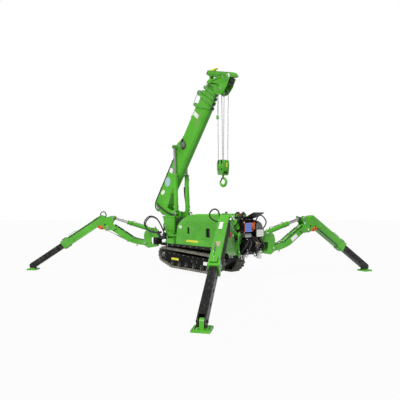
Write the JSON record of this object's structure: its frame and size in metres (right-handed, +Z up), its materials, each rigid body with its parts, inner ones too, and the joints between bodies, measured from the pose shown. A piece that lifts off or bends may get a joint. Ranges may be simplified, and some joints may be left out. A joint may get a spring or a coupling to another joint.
{
  "type": "spider crane",
  "caption": "Narrow tracked mini crane standing on folding outriggers, with a slewing column, telescopic boom, hoist block and hook.",
  "frame": {"origin": "ground level in the middle of the box that the four foot pads span", "axes": "+X toward the console end, +Y to the machine's left, +Z up"},
  "size_m": [4.8864, 4.6168, 3.354],
  "materials": {
    "green_paint": "gloss",
    "black_paint": "satin",
    "belt_rubber": "matt",
    "chrome_rod": "polished",
    "wire_rope": "satin",
    "orange_housing": "satin",
    "blue_screen": "gloss",
    "white_dial": "satin"
  },
  "bodies": {
    "chassis": {"chassis_frame": "black_paint", "track_belt_left": "belt_rubber", "track_belt_right": "belt_rubber", "track_frame_left": "black_paint", "track_frame_right": "black_paint", "slew_base": "black_paint", "engine_cover": "green_paint", "engine_block": "green_paint", "console_box": "black_paint", "plate_box": "white_dial", "display_unit": "orange_housing", "display_screen": "blue_screen", "lever_bank": "black_paint"},
    "column": {"column": "green_paint", "winch_drum": "black_paint"},
    "boom": {"boom_base": "green_paint", "angle_dial": "white_dial"},
    "section_2": {"boom_section_2": "green_paint"},
    "section_3": {"boom_section_3": "green_paint"},
    "section_4": {"boom_section_4": "green_paint"},
    "section_5": {"boom_section_5": "green_paint", "boom_head": "green_paint", "head_sheaves": "green_paint"},
    "luff_barrels": {"luff_barrels": "green_paint"},
    "luff_rods": {"luff_rods": "chrome_rod"},
    "falls": {"hoist_ropes": "wire_rope"},
    "console_lid": {"console_lid": "black_paint"},
    "hook_block": {"hook_block": "green_paint"},
    "hook": {"hook": "green_paint"},
    "swivel_front_right": {"swivel_front_right": "green_paint"},
    "thigh_front_right": {"thigh_front_right": "green_paint"},
    "lift_barrel_front_right": {"lift_barrel_front_right": "green_paint"},
    "lift_rod_front_right": {"lift_rod_front_right": "chrome_rod"},
    "shin_front_right": {"shin_front_right": "green_paint"},
    "inner_leg_front_right": {"inner_leg_front_right": "black_paint"},
    "foot_pad_front_right": {"foot_pad_front_right": "green_paint"},
    "swivel_front_left": {"swivel_front_left": "green_paint"},
    "thigh_front_left": {"thigh_front_left": "green_paint"},
    "lift_barrel_front_left": {"lift_barrel_front_left": "green_paint"},
    "lift_rod_front_left": {"lift_rod_front_left": "chrome_rod"},
    "shin_front_left": {"shin_front_left": "green_paint"},
    "inner_leg_front_left": {"inner_leg_front_left": "black_paint"},
    "foot_pad_front_left": {"foot_pad_front_left": "green_paint"},
    "swivel_rear_right": {"swivel_rear_right": "green_paint"},
    "thigh_rear_right": {"thigh_rear_right": "green_paint"},
    "lift_barrel_rear_right": {"lift_barrel_rear_right": "green_paint"},
    "lift_rod_rear_right": {"lift_rod_rear_right": "chrome_rod"},
    "shin_rear_right": {"shin_rear_right": "green_paint"},
    "inner_leg_rear_right": {"inner_leg_rear_right": "black_paint"},
    "foot_pad_rear_right": {"foot_pad_rear_right": "green_paint"},
    "swivel_rear_left": {"swivel_rear_left": "green_paint"},
    "thigh_rear_left": {"thigh_rear_left": "green_paint"},
    "lift_barrel_rear_left": {"lift_barrel_rear_left": "green_paint"},
    "lift_rod_rear_left": {"lift_rod_rear_left": "chrome_rod"},
    "shin_rear_left": {"shin_rear_left": "green_paint"},
    "inner_leg_rear_left": {"inner_leg_rear_left": "black_paint"},
    "foot_pad_rear_left": {"foot_pad_rear_left": "green_paint"}
  },
  "joints": [
    {"name": "slew", "type": "hinge", "parent": "chassis", "child": "column", "pos_m": [-0.71469, -0.17477, 0.64], "axis": [0, 0, 1], "continuous": true},
    {"name": "boom_luff", "type": "hinge", "parent": "column", "child": "boom", "pos_m": [-1.17469, -0.17477, 1.12], "axis": [0, -1, 0], "range_deg": [-38, 17]},
    {"name": "telescope_2", "type": "slide", "parent": "boom", "child": "section_2", "axis": [0.5976, 0, 0.8018], "range_m": [0, 1.45]},
    {"name": "telescope_3", "type": "slide", "parent": "section_2", "child": "section_3", "axis": [0.5976, 0, 0.8018], "range_m": [0, 1.45]},
    {"name": "telescope_4", "type": "slide", "parent": "section_3", "child": "section_4", "axis": [0.5976, 0, 0.8018], "range_m": [0, 1.45]},
    {"name": "telescope_5", "type": "slide", "parent": "section_4", "child": "section_5", "axis": [0.5976, 0, 0.8018], "range_m": [0, 1.45]},
    {"name": "luff_barrel_swing", "type": "hinge", "parent": "column", "child": "luff_barrels", "pos_m": [-0.56469, -0.17477, 1], "axis": [0, -1, 0], "range_deg": [-47, 19]},
    {"name": "luff_rod_slide", "type": "slide", "parent": "luff_barrels", "child": "luff_rods", "axis": [-0.0549, 0, 0.9985], "range_m": [-0.46, 0.19]},
    {"name": "falls_hang", "type": "hinge", "parent": "section_5", "child": "falls", "pos_m": [0.48483, -0.17477, 2.96993], "axis": [0, -1, 0], "range_deg": [-20, 45]},
    {"name": "hoist", "type": "slide", "parent": "falls", "child": "hook_block", "axis": [0, 0, 1], "range_m": [-0.46, 1.02], "deforming": ["hoist_ropes"]},
    {"name": "hook_swivel", "type": "hinge", "parent": "hook_block", "child": "hook", "pos_m": [0.48483, -0.17477, 1.6], "axis": [0, 0, 1], "continuous": true},
    {"name": "console_lid_hinge", "type": "hinge", "parent": "chassis", "child": "console_lid", "pos_m": [1.01331, -0.17477, 0.928], "axis": [0, -1, 0], "range_deg": [0, 110]},
    {"name": "swing_front_right", "type": "hinge", "parent": "chassis", "child": "swivel_front_right", "pos_m": [1.01531, -0.43977, 0.55], "axis": [0, 0, 1], "range_deg": [-35, 25]},
    {"name": "lift_front_right", "type": "hinge", "parent": "swivel_front_right", "child": "thigh_front_right", "pos_m": [1.13212, -0.59592, 0.476], "axis": [-0.8007, -0.599, 0], "range_deg": [-8, 55]},
    {"name": "lift_barrel_swing_front_right", "type": "hinge", "parent": "swivel_front_right", "child": "lift_barrel_front_right", "pos_m": [1.06922, -0.51184, 0.705], "axis": [-0.8007, -0.599, 0], "range_deg": [-12, 67]},
    {"name": "lift_rod_slide_front_right", "type": "slide", "parent": "lift_barrel_front_right", "child": "lift_rod_front_right", "axis": [0.5698, -0.7617, 0.3083], "range_m": [-0.221, 0.05]},
    {"name": "knee_front_right", "type": "hinge", "parent": "thigh_front_right", "child": "shin_front_right", "pos_m": [1.53346, -1.13241, 0.743], "axis": [0.8007, 0.599, 0], "range_deg": [-15, 60]},
    {"name": "extend_front_right", "type": "slide", "parent": "shin_front_right", "child": "inner_leg_front_right", "axis": [0.4961, -0.6631, -0.5605], "range_m": [-0.36, 0.15]},
    {"name": "pad_tilt_front_right", "type": "hinge", "parent": "inner_leg_front_right", "child": "foot_pad_front_right", "pos_m": [2.32417, -2.18937, 0.078], "axis": [-0.8007, -0.599, 0], "range_deg": [-30, 30]},
    {"name": "swing_front_left", "type": "hinge", "parent": "chassis", "child": "swivel_front_left", "pos_m": [1.01531, 0.09023, 0.55], "axis": [0, 0, -1], "range_deg": [-12, 47]},
    {"name": "lift_front_left", "type": "hinge", "parent": "swivel_front_left", "child": "thigh_front_left", "pos_m": [1.06446, 0.27893, 0.476], "axis": [0.9677, -0.2521, 0], "range_deg": [-8, 55]},
    {"name": "lift_barrel_swing_front_left", "type": "hinge", "parent": "swivel_front_left", "child": "lift_barrel_front_left", "pos_m": [1.03799, 0.17732, 0.705], "axis": [0.9677, -0.2521, 0], "range_deg": [-12, 67]},
    {"name": "lift_rod_slide_front_left", "type": "slide", "parent": "lift_barrel_front_left", "child": "lift_rod_front_left", "axis": [0.2398, 0.9206, 0.3083], "range_m": [-0.221, 0.05]},
    {"name": "knee_front_left", "type": "hinge", "parent": "thigh_front_left", "child": "shin_front_left", "pos_m": [1.23335, 0.92729, 0.743], "axis": [-0.9677, 0.2521, 0], "range_deg": [-15, 60]},
    {"name": "extend_front_left", "type": "slide", "parent": "shin_front_left", "child": "inner_leg_front_left", "axis": [0.2088, 0.8014, -0.5605], "range_m": [-0.36, 0.15]},
    {"name": "pad_tilt_front_left", "type": "hinge", "parent": "inner_leg_front_left", "child": "foot_pad_front_left", "pos_m": [1.56608, 2.20467, 0.078], "axis": [0.9677, -0.2521, 0], "range_deg": [-30, 30]},
    {"name": "swing_rear_right", "type": "hinge", "parent": "chassis", "child": "swivel_rear_right", "pos_m": [-0.98469, -0.43977, 0.55], "axis": [0, 0, -1], "range_deg": [-35, 25]},
    {"name": "lift_rear_right", "type": "hinge", "parent": "swivel_rear_right", "child": "thigh_rear_right", "pos_m": [-1.10421, -0.59385, 0.476], "axis": [-0.7902, 0.6129, 0], "range_deg": [-8, 55]},
    {"name": "lift_barrel_swing_rear_right", "type": "hinge", "parent": "swivel_rear_right", "child": "lift_barrel_rear_right", "pos_m": [-1.03985, -0.51089, 0.705], "axis": [-0.7902, 0.6129, 0], "range_deg": [-12, 67]},
    {"name": "lift_rod_slide_rear_right", "type": "slide", "parent": "lift_barrel_rear_right", "child": "lift_rod_rear_right", "axis": [-0.5831, -0.7517, 0.3083], "range_m": [-0.221, 0.05]},
    {"name": "knee_rear_right", "type": "hinge", "parent": "thigh_rear_right", "child": "shin_rear_right", "pos_m": [-1.51486, -1.12326, 0.743], "axis": [0.7902, -0.6129, 0], "range_deg": [-15, 60]},
    {"name": "extend_rear_right", "type": "slide", "parent": "shin_rear_right", "child": "inner_leg_rear_right", "axis": [-0.5076, -0.6544, -0.5605], "range_m": [-0.36, 0.15]},
    {"name": "pad_tilt_rear_right", "type": "hinge", "parent": "inner_leg_rear_right", "child": "foot_pad_rear_right", "pos_m": [-2.32389, -2.16626, 0.078], "axis": [-0.7902, 0.6129, 0], "range_deg": [-30, 30]},
    {"name": "swing_rear_left", "type": "hinge", "parent": "chassis", "child": "swivel_rear_left", "pos_m": [-0.98469, 0.09023, 0.55], "axis": [0, 0, 1], "range_deg": [-35, 25]},
    {"name": "lift_rear_left", "type": "hinge", "parent": "swivel_rear_left", "child": "thigh_rear_left", "pos_m": [-1.10421, 0.24431, 0.476], "axis": [0.7902, 0.6129, 0], "range_deg": [-8, 55]},
    {"name": "lift_barrel_swing_rear_left", "type": "hinge", "parent": "swivel_rear_left", "child": "lift_barrel_rear_left", "pos_m": [-1.03985, 0.16134, 0.705], "axis": [0.7902, 0.6129, 0], "range_deg": [-12, 67]},
    {"name": "lift_rod_slide_rear_left", "type": "slide", "parent": "lift_barrel_rear_left", "child": "lift_rod_rear_left", "axis": [-0.5831, 0.7517, 0.3083], "range_m": [-0.221, 0.05]},
    {"name": "knee_rear_left", "type": "hinge", "parent": "thigh_rear_left", "child": "shin_rear_left", "pos_m": [-1.51486, 0.77371, 0.743], "axis": [-0.7902, -0.6129, 0], "range_deg": [-15, 60]},
    {"name": "extend_rear_left", "type": "slide", "parent": "shin_rear_left", "child": "inner_leg_rear_left", "axis": [-0.5076, 0.6544, -0.5605], "range_m": [-0.36, 0.15]},
    {"name": "pad_tilt_rear_left", "type": "hinge", "parent": "inner_leg_rear_left", "child": "foot_pad_rear_left", "pos_m": [-2.32389, 1.81671, 0.078], "axis": [0.7902, 0.6129, 0], "range_deg": [-30, 30]}
  ],
  "couplings": [
    {"joint": "telescope_3", "follows": "telescope_2", "ratio": 1},
    {"joint": "telescope_4", "follows": "telescope_2", "ratio": 1},
    {"joint": "telescope_5", "follows": "telescope_2", "ratio": 1},
    {"joint": "luff_barrel_swing", "follows": "boom_luff", "ratio": 1},
    {"joint": "luff_rod_slide", "follows": "boom_luff", "m_per_rad": 0.6},
    {"joint": "falls_hang", "follows": "boom_luff", "ratio": -1},
    {"joint": "hoist", "follows": "boom_luff", "m_per_rad": -1.5},
    {"joint": "lift_barrel_swing_front_right", "follows": "lift_front_right", "ratio": 1.1699},
    {"joint": "lift_rod_slide_front_right", "follows": "lift_front_right", "m_per_rad": -0.21949},
    {"joint": "lift_barrel_swing_front_left", "follows": "lift_front_left", "ratio": 1.1699},
    {"joint": "lift_rod_slide_front_left", "follows": "lift_front_left", "m_per_rad": -0.21949},
    {"joint": "lift_barrel_swing_rear_right", "follows": "lift_rear_right", "ratio": 1.1699},
    {"joint": "lift_rod_slide_rear_right", "follows": "lift_rear_right", "m_per_rad": -0.21949},
    {"joint": "lift_barrel_swing_rear_left", "follows": "lift_rear_left", "ratio": 1.1699},
    {"joint": "lift_rod_slide_rear_left", "follows": "lift_rear_left", "m_per_rad": -0.21949}
  ]
}
